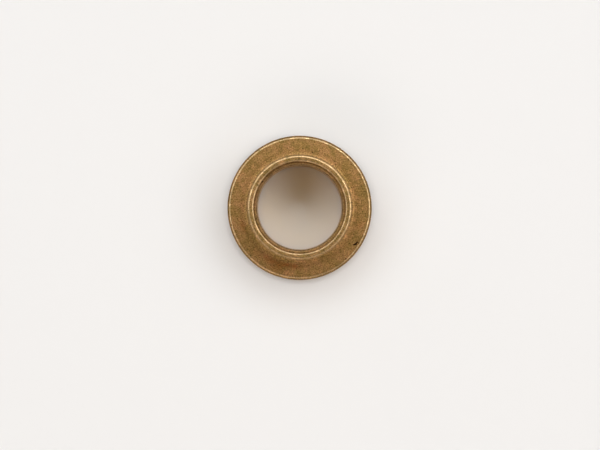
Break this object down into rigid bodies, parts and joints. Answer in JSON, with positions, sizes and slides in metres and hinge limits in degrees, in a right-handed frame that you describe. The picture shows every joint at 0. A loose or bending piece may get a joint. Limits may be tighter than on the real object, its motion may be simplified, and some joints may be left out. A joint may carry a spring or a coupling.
{
  "type": "flanged bushing",
  "caption": "Flanged plain bearing bushing in sintered bronze: a short open sleeve with a chamfered lead-in and a thin round flange.",
  "frame": {"origin": "centre of the bore in the plane of the flange's back face, on which the bushing lies", "axes": "+Z along the bore axis, from the flange towards the open end of the sleeve"},
  "size_m": [0.0222, 0.0222, 0.0095],
  "materials": {
    "bronze": "matte sintered bronze with burnished edges"
  },
  "bodies": {
    "root": {"bushing": "bronze"}
  },
  "joints": []
}
